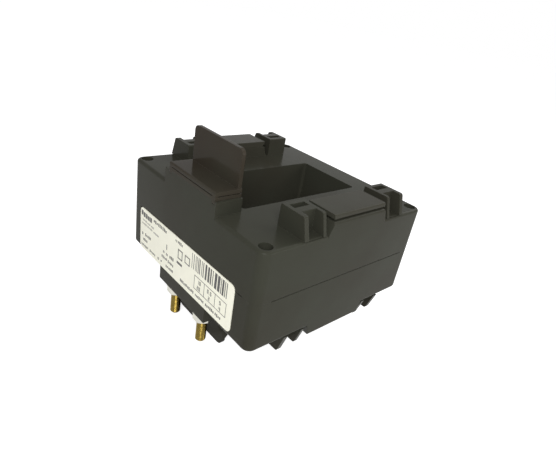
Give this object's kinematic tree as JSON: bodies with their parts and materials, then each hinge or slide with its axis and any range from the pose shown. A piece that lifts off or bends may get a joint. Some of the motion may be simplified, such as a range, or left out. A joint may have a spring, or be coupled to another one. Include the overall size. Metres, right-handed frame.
{
  "type": "current transformer",
  "caption": "Window-type current transformer in a black moulded housing, with terminal studs, a barrier, a lift-off terminal cover with an upright tab and a white rating plate.",
  "frame": {"origin": "centre of the busbar window, on the parting plane of the two housing shells", "axes": "+Z along the busbar, towards the terminal cover; -Y out of the rating-plate face; +X to the right as one faces the rating plate"},
  "size_m": [0.101, 0.1014, 0.0972],
  "materials": {
    "housing": "semi-gloss, fine moulded grain",
    "trim": "semi-gloss",
    "cover": "semi-gloss, slightly brown",
    "plate": "printed film, satin",
    "core": "silicon steel strip",
    "insulation": "matte",
    "tape": "varnished tape over enamelled wire",
    "red_lead": "satin",
    "blue_lead": "satin",
    "brass": "machined",
    "nickel": "nickel plated, satin"
  },
  "bodies": {
    "root": {"upper_shell": "housing", "lower_shell": "housing", "land_cap_left": "trim", "land_cap_right": "trim", "rating_plate": "plate", "core": "core", "core_cap_upper": "insulation", "core_cap_lower": "insulation", "winding_left": "tape", "winding_right": "tape", "winding_link": "red_lead", "lead_s1_lower": "red_lead", "lead_s2_lower": "blue_lead", "lead_s1_upper": "red_lead", "lead_s2_upper": "blue_lead", "stud_s1": "brass", "stud_s2": "brass", "washer_s1": "nickel", "washer_s2": "nickel", "nut_s1": "nickel", "nut_s2": "nickel", "terminal_bushes": "brass", "terminal_screw_s1": "nickel", "terminal_screw_s2": "nickel", "housing_screws": "nickel", "screw_inserts": "brass"},
    "cover": {"terminal_cover": "cover"}
  },
  "joints": [
    {"name": "cover_lift", "type": "slide", "parent": "root", "child": "cover", "axis": [0, 0, 1], "range_m": [0, 0.03]}
  ]
}
